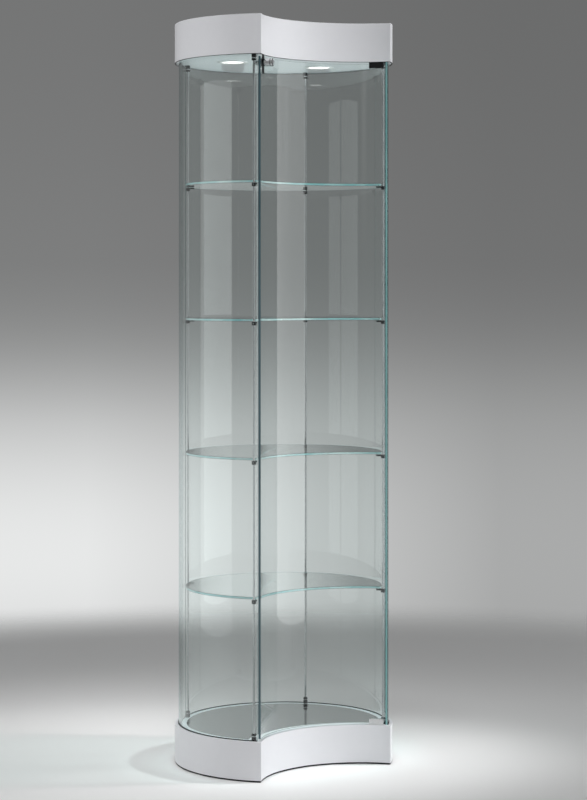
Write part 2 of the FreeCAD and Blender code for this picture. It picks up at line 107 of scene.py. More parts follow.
def addCylinder(radius, low, high, x=0.0, y=0.0, steps=48):
    clearSelection()
    place = (x, y, (low + high) / 2)
    bpy.ops.mesh.primitive_cylinder_add(vertices=steps, radius=radius, depth=high - low, location=place)
    return bpy.context.object


def addRod(radius, start, end, steps=32):
    clearSelection()
    start, end = Vector(start), Vector(end)
    way = end - start
    bpy.ops.mesh.primitive_cylinder_add(
        vertices=steps, radius=radius, depth=way.length, location=(start + end) / 2,
        rotation=way.to_track_quat("Z", "Y").to_euler(),
    )
    return bpy.context.object


def addBlock(name, low, high):
    clearSelection()
    middle = [(a + b) / 2 for a, b in zip(low, high)]
    bpy.ops.mesh.primitive_cube_add(size=1, location=middle)
    block = bpy.context.object
    block.scale = [b - a for a, b in zip(low, high)]
    return freeze(block, name)


def roundUprights(obj, radius, segments, low=-1.0, high=1.0):
    # rounds the upright edges that stand between low and high on x
    pick(obj)
    bpy.context.tool_settings.mesh_select_mode = (False, True, False)
    bpy.ops.object.mode_set(mode="EDIT")
    bpy.ops.mesh.select_all(action="DESELECT")
    bpy.ops.object.mode_set(mode="OBJECT")
    for edge in obj.data.edges:
        a, b = (obj.data.vertices[n].co for n in edge.vertices)
        upright = abs(a.x - b.x) + abs(a.y - b.y) < 1e-6
        edge.select = upright and low < a.x < high
    bpy.ops.object.mode_set(mode="EDIT")
    bpy.ops.mesh.bevel(offset=radius, segments=segments, affect="EDGES")
    bpy.ops.object.mode_set(mode="OBJECT")
    return obj


def turnProfile(name, points, hollow=True, steps=48):
    # a ring drawn out from point to point of a section, given as radius and height in mm
    clearSelection()
    radius, height = points[0]
    bpy.ops.mesh.primitive_circle_add(vertices=steps, radius=radius * mm, location=(0, 0, height * mm))
    piece = freeze(bpy.context.object, name)
    bpy.ops.object.mode_set(mode="EDIT")
    bpy.ops.mesh.select_all(action="SELECT")
    for nextRadius, nextHeight in points[1:] + (points[:1] if hollow else []):
        bpy.ops.mesh.extrude_region_move(TRANSFORM_OT_translate={"value": (0, 0, (nextHeight - height) * mm)})
        grow = nextRadius / radius
        bpy.ops.transform.resize(value=(grow, grow, 1), center_override=(0, 0, nextHeight * mm))
        radius, height = nextRadius, nextHeight
    if not hollow:
        bpy.ops.mesh.select_all(action="SELECT")
        bpy.ops.mesh.fill_holes(sides=0)
    bpy.ops.object.mode_set(mode="OBJECT")
    return finishFaces(piece)


def copyOf(obj, name, matrix):
    # each copy has its own mesh
    pick(obj)
    bpy.ops.object.duplicate(linked=False)
    twin = bpy.context.object
    twin.matrix_world = matrix
    return freeze(twin, name)


def joinAs(name, objs):
    pick(*objs)
    bpy.ops.object.join()
    whole = bpy.context.object
    whole.name = name
    whole.data.name = name
    return whole


# shares of the screw's radius
hexScrew = {"socket": 0.55, "arris": 0.08}


def addHexScrew(radius, start, end):
    # a socket screw from its head at start to its tip at end
    start, end = Vector(start), Vector(end)
    screw = freeze(addRod(radius, start, end, steps=24), "screw")
    depth = (end - start).normalized() * radius
    combine(screw, addRod(radius * hexScrew["socket"], start - depth, start + depth, steps=6))
    return breakEdges(screw, radius * hexScrew["arris"], segments=1)


def finishFaces(obj):
    # merge what meets and turn the faces outwards
    pick(obj)
    bpy.ops.object.mode_set(mode="EDIT")
    bpy.ops.mesh.select_all(action="SELECT")
    bpy.ops.mesh.remove_doubles(threshold=1e-6)
    bpy.ops.mesh.normals_make_consistent(inside=False)
    bpy.ops.object.mode_set(mode="OBJECT")
    return obj


def planSlab(name, radius, bite, low, high):
    slab = addCylinder(radius, low, high, y=plan["caseY"], steps=plan["steps"])
    reach = high - low
    tool = addCylinder(bite, low - reach, high + reach, y=plan["biteY"], steps=plan["steps"])
    return freeze(combine(slab, tool), name)


def bentSlab(name, spec, low, high):
    # an upright strip at one end of the arc, spun round the arc's centre
    clearSelection()
    start = math.radians(spec["start"])
    middle = (spec["inner"] + spec["outer"]) / 2
    place = (middle * math.cos(start), spec["centreY"] + middle * math.sin(start), (low + high) / 2)
    bpy.ops.mesh.primitive_plane_add(size=1, location=place, rotation=(math.pi / 2, 0, start))
    slab = bpy.context.object
    slab.scale = (spec["outer"] - spec["inner"], high - low, 1)
    freeze(slab, name)
    bpy.ops.object.mode_set(mode="EDIT")
    bpy.ops.mesh.select_all(action="SELECT")
    bpy.ops.mesh.spin(
        steps=spec["steps"],
        angle=-math.radians(spec["sweep"]),  # with no window, spin turns the other way
        center=(0, spec["centreY"], 0),
        axis=(0, 0, 1),
    )
    bpy.ops.object.mode_set(mode="OBJECT")
    return finishFaces(slab)


def wear(obj, *materials):
    obj.data.materials.clear()
    for material in materials:
        obj.data.materials.append(material)


def paintBands(obj, bands):
    # slot 1 goes on the bands round a turned piece, given as heights in mm
    for face in obj.data.polygons:
        height = face.center.z / mm
        face.material_index = int(any(low < height < high for low, high in bands))


def seat(obj, body, slot, *replaced):
    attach(obj, body)
    if replaced:
        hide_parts(*replaced)


# Camera, at the photograph's height and angle

camera = {
    "place": (-3.210, -5.049, 1.242),
    "look": (0.5432, 0.8396, 0.0),
    "lens": 102.1,
    "sensor": 36,
    "shiftY": -0.1426,
    "far": 60,
}


def makeCamera():
    data = bpy.data.cameras.new("camera")
    data.lens = camera["lens"]
    data.sensor_width = camera["sensor"]
    data.sensor_fit = "AUTO"
    data.shift_y = camera["shiftY"]
    data.clip_end = camera["far"]
    eye = bpy.data.objects.new("camera", data)
    bpy.context.scene.collection.objects.link(eye)
    eye.location = camera["place"]
    eye.rotation_euler = Vector(camera["look"]).to_track_quat("-Z", "Y").to_euler()
    bpy.context.scene.camera = eye


# Node helpers

def newMaterial(name):
    material = bpy.data.materials.new(name)
    material.use_nodes = True
    shader = material.node_tree.nodes["Principled BSDF"]
    return material, material.node_tree, shader


def addNode(tree, kind, **values):
    node = tree.nodes.new(kind)
    for key, value in values.items():
        if key in node.inputs:
            node.inputs[key].default_value = value
        else:
            setattr(node, key, value)
    return node


def addGroup(tree, group, **values):
    node = tree.nodes.new("ShaderNodeGroup")
    node.node_tree = group
    for key, value in values.items():
        node.inputs[key].default_value = value
    return node


def feed(tree, socket, value):
    # a socket takes another node's output or a plain value
    if isinstance(value, bpy.types.NodeSocket):
        tree.links.new(value, socket)
    elif socket.type == "RGBA":
        socket.default_value = (*value, 1)
    else:
        socket.default_value = value


def addMath(tree, operation, *values):
    node = addNode(tree, "ShaderNodeMath", operation=operation)
    for socket, value in zip(node.inputs, values):
        feed(tree, socket, value)
    return node.outputs["Value"]


def addRange(tree, source, bounds=(0, 1), values=(0, 1), soft=False):
    # moves a value from one span to another, by a soft step if asked
    node = tree.nodes.new("ShaderNodeMapRange")
    if soft:
        node.interpolation_type = "SMOOTHSTEP"
    for end, value in zip(("From Min", "From Max", "To Min", "To Max"), (*bounds, *values)):
        feed(tree, node.inputs[end], value)
    feed(tree, node.inputs["Value"], source)
    return node.outputs["Result"]


def mixTones(tree, factor, *tones):
    # the colours of a Mix node are its inputs 6 and 7 and its output 2
    node = addNode(tree, "ShaderNodeMix", data_type="RGBA")
    feed(tree, node.inputs["Factor"], factor)
    for socket, tone in zip(node.inputs[6:8], tones):
        feed(tree, socket, tone)
    return node.outputs[2]


def mixShaders(tree, factor, first, second, surface):
    node = tree.nodes.new("ShaderNodeMixShader")
    for socket, value in zip(node.inputs, (factor, first, second)):
        feed(tree, socket, value)
    tree.links.new(node.outputs["Shader"], surface)


def newGroup(name, inputs, outputs):
    group = bpy.data.node_groups.new(name, "ShaderNodeTree")
    for label, kind, value in inputs:
        group.interface.new_socket(label, in_out="INPUT", socket_type=kind).default_value = value
    for label, kind in outputs:
        group.interface.new_socket(label, in_out="OUTPUT", socket_type=kind)
    return group, group.nodes.new("NodeGroupInput"), group.nodes.new("NodeGroupOutput")


# an uneven surface: a mottled mask and a soft bump, in the object's own space
def makeUnevenGroup():
    inputs = [
        ("Scale", "NodeSocketFloat", 40.0),
        ("Stretch", "NodeSocketVector", (1, 1, 1)),
        ("Bump", "NodeSocketFloat", 0.1),
        ("Depth", "NodeSocketFloat", 0.0005),
    ]
    outputs = [("Mask", "NodeSocketFloat"), ("Normal", "NodeSocketVector")]
    group, given, result = newGroup("unevenSurface", inputs, outputs)
    link = group.links.new
    coord = group.nodes.new("ShaderNodeTexCoord")
    mapping = group.nodes.new("ShaderNodeMapping")
    noise = addNode(group, "ShaderNodeTexNoise", Detail=4.0, Roughness=0.55)
    bump = group.nodes.new("ShaderNodeBump")
    link(coord.outputs["Object"], mapping.inputs["Vector"])
    link(given.outputs["Stretch"], mapping.inputs["Scale"])
    link(mapping.outputs["Vector"], noise.inputs["Vector"])
    link(given.outputs["Scale"], noise.inputs["Scale"])
    link(noise.outputs["Fac"], bump.inputs["Height"])
    link(given.outputs["Bump"], bump.inputs["Strength"])
    link(given.outputs["Depth"], bump.inputs["Distance"])
    link(noise.outputs["Fac"], result.inputs["Mask"])
    link(bump.outputs["Normal"], result.inputs["Normal"])
    return group


# two tones and two roughnesses, mixed by a mask
def makeToneGroup():
    inputs = [
        ("Mask", "NodeSocketFloat", 0.5),
        ("Tone A", "NodeSocketColor", (1, 1, 1, 1)),
        ("Tone B", "NodeSocketColor", (1, 1, 1, 1)),
        ("Rough A", "NodeSocketFloat", 0.3),
        ("Rough B", "NodeSocketFloat", 0.3),
        ("Low", "NodeSocketFloat", 0.35),
        ("High", "NodeSocketFloat", 0.65),
    ]
    outputs = [("Color", "NodeSocketColor"), ("Roughness", "NodeSocketFloat")]
    group, given, result = newGroup("twoTones", inputs, outputs)
    ask = given.outputs
    spread = addRange(group, ask["Mask"], (ask["Low"], ask["High"]))
    tone = mixTones(group, spread, ask["Tone A"], ask["Tone B"])
    rough = addRange(group, spread, values=(ask["Rough A"], ask["Rough B"]))
    group.links.new(tone, result.inputs["Color"])
    group.links.new(rough, result.inputs["Roughness"])
    return group


unevenGroup = makeUnevenGroup()
toneGroup = makeToneGroup()


# one entry per finish: its two tones, roughnesses, grain and plain shader values
finishes = {
    "whiteLacquer": {
        "tones": ((0.845, 0.852, 0.885), (0.837, 0.844, 0.877)), "rough": (0.34, 0.40),
        "grain": (60, (1, 1, 1), 0.012, 0.0003), "plain": {"Coat Weight": 0.25, "Coat Roughness": 0.28},
    },
    "rawBoard": {
        "tones": ((0.55, 0.43, 0.29), (0.44, 0.33, 0.21)), "rough": (0.7, 0.85),
        "grain": (350, (1, 1, 1), 0.3, 0.0006), "plain": {},
    },
    "mirrorFace": {
        "tones": ((0.66, 0.69, 0.69), (0.64, 0.67, 0.67)), "rough": (0.02, 0.035),
        "grain": (6, (1, 1, 1), 0.0, 0.0001), "plain": {"Metallic": 1.0},
    },
    "polishedSteel": {
        "tones": ((0.76, 0.77, 0.78), (0.68, 0.69, 0.70)), "rough": (0.10, 0.18),
        "grain": (900, (1, 1, 0.02), 0.03, 0.0001), "plain": {"Metallic": 1.0},
    },
    "satinNickel": {
        "tones": ((0.86, 0.87, 0.88), (0.80, 0.81, 0.82)), "rough": (0.16, 0.24),
        "grain": (1400, (1, 1, 1), 0.04, 0.0001), "plain": {"Metallic": 1.0},
    },
    "chrome": {
        "tones": ((0.80, 0.81, 0.82), (0.74, 0.75, 0.76)), "rough": (0.05, 0.10),
        "grain": (400, (1, 1, 1), 0.01, 0.0001), "plain": {"Metallic": 1.0},
    },
    # painted reflection: a near-black metal tone that stands in for a dark room mirrored in the chrome
    "darkReflectionChrome": {
        "tones": ((0.085, 0.088, 0.092), (0.05, 0.052, 0.055)), "rough": (0.12, 0.20),
        "grain": (700, (1, 1, 1), 0.03, 0.0001), "plain": {"Metallic": 1.0},
    },
    "zincPlate": {
        "tones": ((0.56, 0.57, 0.58), (0.46, 0.47, 0.48)), "rough": (0.3, 0.45),
        "grain": (700, (1, 1, 1), 0.08, 0.0001), "plain": {"Metallic": 1.0},
    },
    "turnedBrass": {
        "tones": ((0.68, 0.50, 0.22), (0.58, 0.42, 0.18)), "rough": (0.22, 0.35),
        "grain": (800, (1, 1, 8), 0.06, 0.0001), "plain": {"Metallic": 1.0},
    },
    "clearPad": {
        "tones": ((0.72, 0.75, 0.74), (0.66, 0.70, 0.69)), "rough": (0.35, 0.5),
        "grain": (500, (1, 1, 1), 0.05, 0.0001), "plain": {},
    },
    "blackPlastic": {
        "tones": ((0.009, 0.009, 0.010), (0.016, 0.016, 0.017)), "rough": (0.45, 0.58),
        "grain": (900, (1, 1, 1), 0.12, 0.0001), "plain": {"Specular IOR Level": 0.25},
    },
    "whitePlastic": {
        "tones": ((0.82, 0.82, 0.81), (0.78, 0.78, 0.77)), "rough": (0.4, 0.5),
        "grain": (900, (1, 1, 1), 0.1, 0.0001), "plain": {},
    },
    "whitePaint": {
        "tones": ((0.85, 0.85, 0.85), (0.82, 0.82, 0.82)), "rough": (0.28, 0.36),
        "grain": (700, (1, 1, 1), 0.05, 0.0001), "plain": {},
    },
    "castAluminium": {
        "tones": ((0.68, 0.69, 0.70), (0.60, 0.61, 0.62)), "rough": (0.35, 0.5),
        "grain": (600, (1, 1, 1), 0.1, 0.0001), "plain": {"Metallic": 1.0},
    },
    # painted light and shade on the glass edges: opaque tones stand in for what is seen along the glass, dark
    # on the door, pale on the left pane's end, a teal glow on the others
    "doorEdgeShade": {
        "tones": ((0.06, 0.115, 0.135), (0.10, 0.17, 0.195)), "rough": (0.08, 0.2),
        "grain": (30, (1, 1, 0.15), 0.02, 0.0002), "plain": {"Coat Weight": 0.4, "Coat Roughness": 0.03},
    },
    "paneEndLight": {
        "tones": ((0.30, 0.42, 0.42), (0.38, 0.50, 0.495)), "rough": (0.08, 0.2),
        "grain": (30, (1, 1, 0.15), 0.02, 0.0002), "plain": {"Coat Weight": 0.4, "Coat Roughness": 0.03},
    },
    "paneEdgeGlow": {
        "tones": ((0.20, 0.46, 0.455), (0.30, 0.58, 0.57)), "rough": (0.08, 0.2),
        "grain": (30, (1, 1, 0.15), 0.02, 0.0002), "plain": {"Coat Weight": 0.4, "Coat Roughness": 0.03},
    },
    # painted reflection: long pale and dark teal patches on the shelf edges stand in for lamps mirrored along
    # them
    "shelfEdgeReflection": {
        "tones": ((0.34, 0.66, 0.68), (0.80, 0.96, 0.96)), "rough": (0.06, 0.16),
        "grain": (9, (1, 1, 1), 0.02, 0.0002), "plain": {"Coat Weight": 0.5, "Coat Roughness": 0.03},
    },
}


def makeFinish(name, spec):
    material, tree, shader = newMaterial(name)
    scale, stretch, bump, depth = spec["grain"]
    grain = addGroup(tree, unevenGroup, Scale=scale, Stretch=stretch, Bump=bump, Depth=depth)
    mixed = addGroup(tree, toneGroup)
    for end, tone, rough in zip("AB", spec["tones"], spec["rough"]):
        feed(tree, mixed.inputs[f"Tone {end}"], tone)
        feed(tree, mixed.inputs[f"Rough {end}"], rough)
    tree.links.new(grain.outputs["Mask"], mixed.inputs["Mask"])
    tree.links.new(mixed.outputs["Color"], shader.inputs["Base Color"])
    tree.links.new(mixed.outputs["Roughness"], shader.inputs["Roughness"])
    tree.links.new(grain.outputs["Normal"], shader.inputs["Normal"])
    for socket, value in spec["plain"].items():
        shader.inputs[socket].default_value = value
    return material


# clear glass that lets the lamps through, and looks greener the deeper it is
glass = {
    "tint": (0.995, 1.0, 0.998), "shadow": (0.96, 0.975, 0.972), "rough": 0.0, "ior": 1.5,
    "depthTone": (0.26, 0.75, 0.70), "depth": 9.0,
    "limb": (0.16, 0.30, 0.31), "limbSpan": (0.74, 0.88),
}


def makeGlass(name, bent=False):
    material, tree, shader = newMaterial(name)
    shader.inputs["Base Color"].default_value = (*glass["tint"], 1)
    if bent:
        # bent glass is deeper and darker where it turns away from the eye
        weight = addNode(tree, "ShaderNodeLayerWeight", Blend=0.5)
        turned = addRange(tree, weight.outputs["Facing"], glass["limbSpan"], soft=True)
        tree.links.new(mixTones(tree, turned, glass["tint"], glass["limb"]), shader.inputs["Base Color"])
    shader.inputs["Roughness"].default_value = glass["rough"]
    shader.inputs["IOR"].default_value = glass["ior"]
    shader.inputs["Transmission Weight"].default_value = 1.0
    clear = addNode(tree, "ShaderNodeBsdfTransparent", Color=(*glass["shadow"], 1))
    rays = tree.nodes.new("ShaderNodeLightPath")
    out = tree.nodes["Material Output"]
    shaders = shader.outputs["BSDF"], clear.outputs["BSDF"]
    mixShaders(tree, rays.outputs["Is Shadow Ray"], *shaders, out.inputs["Surface"])
    body = addNode(tree, "ShaderNodeVolumeAbsorption", Color=(*glass["depthTone"], 1), Density=glass["depth"])
    tree.links.new(body.outputs["Volume"], out.inputs["Volume"])
    return material


# a lit, frosted lamp lens
lampLens = {
    "tone": (0.95, 0.95, 0.93), "glow": (1.0, 0.985, 0.96), "strength": 3.0, "rough": 0.4,
    "frost": {"Scale": 1200.0, "Bump": 0.2, "Depth": 0.0002},
}


def makeLens(name):
    material, tree, shader = newMaterial(name)
    shader.inputs["Base Color"].default_value = (*lampLens["tone"], 1)
    shader.inputs["Emission Strength"].default_value = lampLens["strength"]
    shader.inputs["Emission Color"].default_value = (*lampLens["glow"], 1)
    grain = addGroup(tree, unevenGroup, **lampLens["frost"])
    tree.links.new(grain.outputs["Normal"], shader.inputs["Normal"])
    shader.inputs["Roughness"].default_value = lampLens["rough"]
    return material


look = {name: makeFinish(name, spec) for name, spec in finishes.items()}
look["clearGlass"] = makeGlass("clearGlass")
look["bentGlass"] = makeGlass("bentGlass", bent=True)
look["litLens"] = makeLens("litLens")
print("finishes made:", len(look))

# what each kept CAD node wears
nodeLooks = {
    "whiteLacquer": ["plinth_deck", "cap_ceiling", "cap_top_board"],
    "rawBoard": ["plinth_base_board", "plinth_spacers", "cap_spacers"],
    "blackPlastic": ["floor_glides", "downlight_lead_left", "downlight_lead_right", "cable_grommet"],
    "polishedSteel": ["upright_front_left", "upright_front_right", "upright_back_left", "upright_back_right"],
    "zincPlate": ["upright_nuts_lower", "upright_nuts_upper", "hinge_pin_lower", "hinge_pin_upper"],
    "turnedBrass": ["hinge_bush_lower", "hinge_bush_upper"],
    "clearPad": ["hinge_pads_lower", "hinge_pads_upper"] + [f"shelf_{n}_pads" for n in (1, 2, 3, 4)],
    "castAluminium": ["downlight_can_left", "downlight_can_right"],
    "whitePlastic": ["lamp_driver"],
}
for name, members in nodeLooks.items():
    for member in members:
        wear(nodes[member], look[name])


# Plinth and cap skins

skins = {
    "plinthShell": {"low": 0.004, "high": 0.101, "node": "plinth_skin"},
    "capShell": {"low": 1.824, "high": 1.924, "node": "cap_skin"},
    "wall": 0.003, "over": 0.01,  # the inside's cutter passes the ends by this much
    "arris": 0.0009,
    "cableHole": 0.006, "cableHeight": 1.884, "cableReach": (0.2, 0.3),
    # the painted shade strips: their height at the cap, and their set-back and lift under the plinth
    "shadeStrip": 0.0008, "setBack": 0.0015, "lift": 0.0003,
}


def planRing(name, low, high, setBack=0.0):
    radius, bite = plan["caseRadius"] - setBack, plan["biteRadius"] + setBack
    ring = planSlab(name, radius, bite, low, high)
    wall, over = skins["wall"], skins["over"]
    inside = planSlab("inside", radius - wall, bite + wall, low - over, high + over)
    return combine(ring, inside)


def makeSkin(name):
    spec = skins[name]
    shell = planRing(name, spec["low"], spec["high"])
    if name == "capShell":
        ends = [(0, y, skins["cableHeight"]) for y in skins["cableReach"]]
        combine(shell, addRod(skins["cableHole"], *ends))
    breakEdges(finishFaces(shell), skins["arris"], segments=2)
    wear(shell, look["whiteLacquer"])
    seat(shell, "case", "white_lacquer", spec["node"])


def makeShadeStrip(name, low, high, setBack=0.0):
    # thin dark strips edge the foot of the cap and fill the gap under the plinth, as painted shade: a shade
    # line at the cap and the shadow in the gap
    shadeStrip = finishFaces(planRing(name, low, high, setBack))
    wear(shadeStrip, look["blackPlastic"])
    seat(shadeStrip, "case", "black_plate")


makeSkin("plinthShell")
makeSkin("capShell")
makeShadeStrip("capShadeLine", plan["capBottom"] - skins["shadeStrip"], plan["capBottom"])
makeShadeStrip("plinthGapShade", skins["lift"], skins["plinthShell"]["low"], skins["setBack"])
print("skins made")


# Bent glass and shelves

panes = {
    "paneLeft": {"node": "glass_left", "start": 135.2, "sweep": 88.1},
    "paneBack": {"node": "glass_back", "start": 45.2, "sweep": 89.6},
    "paneRight": {"node": "glass_right", "start": -43.3, "sweep": 88.1},
    "foot": {"start": -43.3, "sweep": 266.6, "low": 0.101, "high": 0.1026, "outside": (0.275, 0.2768),
             "inside": (0.2681, 0.269), "arris": 0.0003},
    "inner": 0.269, "outer": 0.275, "low": 0.091, "high": 1.8335, "arris": 0.0007, "steps": 72,
}
doorPane = {
    "node": "door_glass", "centreY": -0.410, "inner": 0.2615, "outer": 0.2675,
    "start": 43.81, "sweep": 93.19, "steps": 84, "low": 0.1065, "high": 1.8185,
    "hole": 0.0068, "drill": (0.24, 0.29),  # the lock's hole is drilled between these radii
}
shelves = {"radius": 0.257, "bite": 0.2755, "thick": 0.006, "first": 0.460, "pitch": 0.3495, "arris": 0.0007}
mirror = {"radius": 0.254, "bite": 0.298, "thick": 0.004, "arris": 0.0008}
lock = {"turn": 132.0, "height": 1.804}


def paintEdges(obj, centreY=None):
    # slot 1 goes on the edges in front, painted with the light and shade seen along the glass, slot 0 on the
    # clear faces
    for face in obj.data.polygons:
        if centreY is None:
            across = abs(face.normal.z)
        else:
            out = Vector((face.center.x, face.center.y - centreY, 0)).normalized()
            across = abs(face.normal.dot(out))
        face.material_index = 1 if across < 0.3 else 0


def makePane(name):
    spec = {**panes[name], "centreY": plan["caseY"]}
    for key in ("inner", "outer", "steps"):
        spec[key] = panes[key]
    pane = bentSlab(name, spec, panes["low"], panes["high"])
    breakEdges(pane, panes["arris"], segments=1)
    # the left pane's end is painted paler than the others, with the light seen through it
    edge = "paneEndLight" if name == "paneLeft" else "paneEdgeGlow"
    wear(pane, look["bentGlass"], look[edge])
    if name != "paneBack":
        paintEdges(pane, plan["caseY"])
    seat(pane, "case", "glass", spec["node"])


def makeFootShadeLines():
    # a dark strip each side of the fixed glass, where it stands in the plinth, as painted shade for the
    # shadow lines of the groove
    foot = panes["foot"]
    for side in ("outside", "inside"):
        inner, outer = foot[side]
        spec = {**foot, "centreY": plan["caseY"], "inner": inner, "outer": outer, "steps": 3 * panes["steps"]}
        shadeLine = bentSlab(f"footShadeLine{side.title()}", spec, foot["low"], foot["high"])
        breakEdges(shadeLine, foot["arris"])
        wear(shadeLine, look["blackPlastic"])
        seat(shadeLine, "case", "black_plate")


def makeDoorPane():
    pane = bentSlab("doorPane", doorPane, doorPane["low"], doorPane["high"])
    turn = math.radians(lock["turn"])
    radial = Vector((math.cos(turn), math.sin(turn), 0))
    axis = Vector((0, doorPane["centreY"], lock["height"]))
    combine(pane, addRod(doorPane["hole"], *(axis + radial * reach for reach in doorPane["drill"])))
    breakEdges(pane, panes["arris"], segments=1)
    wear(pane, look["clearGlass"], look["doorEdgeShade"])
    paintEdges(pane, doorPane["centreY"])
    seat(pane, "door", "glass", doorPane["node"])


def makeShelf(number):
    top = shelves["first"] + (number - 1) * shelves["pitch"]
    shelf = planSlab(f"shelfPane{number}", shelves["radius"], shelves["bite"], top - shelves["thick"], top)
    breakEdges(finishFaces(shelf), shelves["arris"], segments=1)
    wear(shelf, look["clearGlass"], look["shelfEdgeReflection"])
    paintEdges(shelf)
    seat(shelf, "case", "glass", f"shelf_{number}")


def makeMirror():
    top = plan["plinthTop"]
    plate = planSlab("mirrorPlate", mirror["radius"], mirror["bite"], top - mirror["thick"], top)
    breakEdges(finishFaces(plate), mirror["arris"])
    wear(plate, look["mirrorFace"])
    seat(plate, "case", "mirror", "floor_mirror")


for paneName in ("paneLeft", "paneBack", "paneRight"):
    makePane(paneName)
makeDoorPane()
makeFootShadeLines()
for number in (1, 2, 3, 4):
    makeShelf(number)
makeMirror()
print("glass made")


# Ferrules and shelf clips on the uprights

uprights = {
    "circle": 0.262,
    "angles": {"frontLeft": -49.1, "frontRight": 49.1, "backLeft": -135.0, "backRight": 135.0},
}
# radius and height round each section, in mm
ferrule = {
    "section": [
        (3.1, 0), (6, 0), (6, 9.6), (5.2, 9.9), (5.2, 11.1), (6, 11.4), (6, 15.5), (4.5, 17), (3.1, 17),
    ],
    "groove": (9.55, 11.45), "arris": 0.15,
}
clip = {
    "radius": 5.5, "height": 9.0, "bore": 3.1, "reach": 18.0, "width": 8.0, "tongue": 4.0, "round": 3.0,
    "screw": 1.5, "head": 0.96, "sunk": 0.5, "arris": 0.35, "pad": 1.0,
}


def uprightSpot(corner):
    turn = math.radians(uprights["angles"][corner])
    x = uprights["circle"] * math.sin(turn)
    y = plan["caseY"] - uprights["circle"] * math.cos(turn)
    return x, y, turn + math.pi / 2  # the last is the way to the middle of the case


def makeFerrules():
    master = breakEdges(turnProfile("ferrule", ferrule["section"]), ferrule["arris"] * mm, segments=1)
    # painted reflection: the dark body and pale groove stand in for dark and bright surroundings mirrored in
    # the metal
    wear(master, look["darkReflectionChrome"], look["satinNickel"])
    paintBands(master, [ferrule["groove"]])
    for end, height, flip in (("Lower", plan["plinthTop"], 0.0), ("Upper", plan["ceiling"], math.pi)):
        copies = []
        for corner in uprights["angles"]:
            x, y, turn = uprightSpot(corner)
            place = Matrix.Translation((x, y, height)) @ Matrix.Rotation(flip, 4, "X")
            copies.append(copyOf(master, "ferruleCopy", place))
        row = joinAs(f"ferrules{end}", copies)
        seat(row, "case", "chrome", f"upright_ferrules_{end.lower()}")
    bpy.data.objects.remove(master)


def makeClip():
    high, half = clip["height"] * mm, clip["width"] * mm / 2
    reach, screw = clip["reach"] * mm, clip["screw"] * mm
    collar = addCylinder(clip["radius"] * mm, 0, high, steps=40)
    tongue = addBlock("tongue", (0, -half, high - clip["tongue"] * mm), (reach, half, high))
    roundUprights(tongue, clip["round"] * mm, segments=6, low=reach / 2)
    combine(collar, tongue, "UNION")
    combine(collar, addCylinder(clip["bore"] * mm, -high, 2 * high, steps=32))
    face, tip = -clip["radius"] * mm, (-clip["bore"] * mm, 0, high / 2)
    combine(collar, addRod(screw, (2 * face, 0, high / 2), tip))
    breakEdges(finishFaces(freeze(collar, "clip")), clip["arris"] * mm)
    head = addHexScrew(screw * clip["head"], (face + clip["sunk"] * mm, 0, high / 2), tip)
    # painted reflection: the dark collar and bright screw head stand in for a dark room and a highlight
    # mirrored in the chrome
    wear(collar, look["darkReflectionChrome"])
    wear(head, look["satinNickel"])
    return joinAs("clip", [collar, head])


def makeClips():
    master = makeClip()
    for number in (1, 2, 3, 4):
        under = shelves["first"] + (number - 1) * shelves["pitch"] - shelves["thick"] - clip["pad"] * mm
        copies = []
        for corner in uprights["angles"]:
            x, y, turn = uprightSpot(corner)
            place = Matrix.Translation((x, y, under - clip["height"] * mm)) @ Matrix.Rotation(turn, 4, "Z")
            copies.append(copyOf(master, "clipCopy", place))
        seat(joinAs(f"shelfClips{number}", copies), "case", "chrome", f"shelf_{number}_clips")
    bpy.data.objects.remove(master)


makeFerrules()
makeClips()
print("ferrules and clips made")


# Pivot clamps at the door's foot and head

clamp = {
    "turn": 45.0, "pivot": 264.5, "half": 6.5, "tail": 4.0, "length": 38.0, "height": 15.0, "web": 4.0,
    "gap": 1.0, "pad": 0.7, "round": 1.2, "pin": 2.5, "arris": 0.5,
    "jaw": {"centreY": 0.0, "start": -5.0, "sweep": 18.0, "steps": 36},
    "screws": (9.0, 26.0), "screw": 2.4, "head": 0.95, "sunk": 0.6, "bore": 1.5,
    # painted reflection and shade: the same clamp metal is pale at the foot and dark at the head, for the
    # bright floor and dark room mirrored in it
    "finish": {"Lower": "satinNickel", "Upper": "darkReflectionChrome"},
}


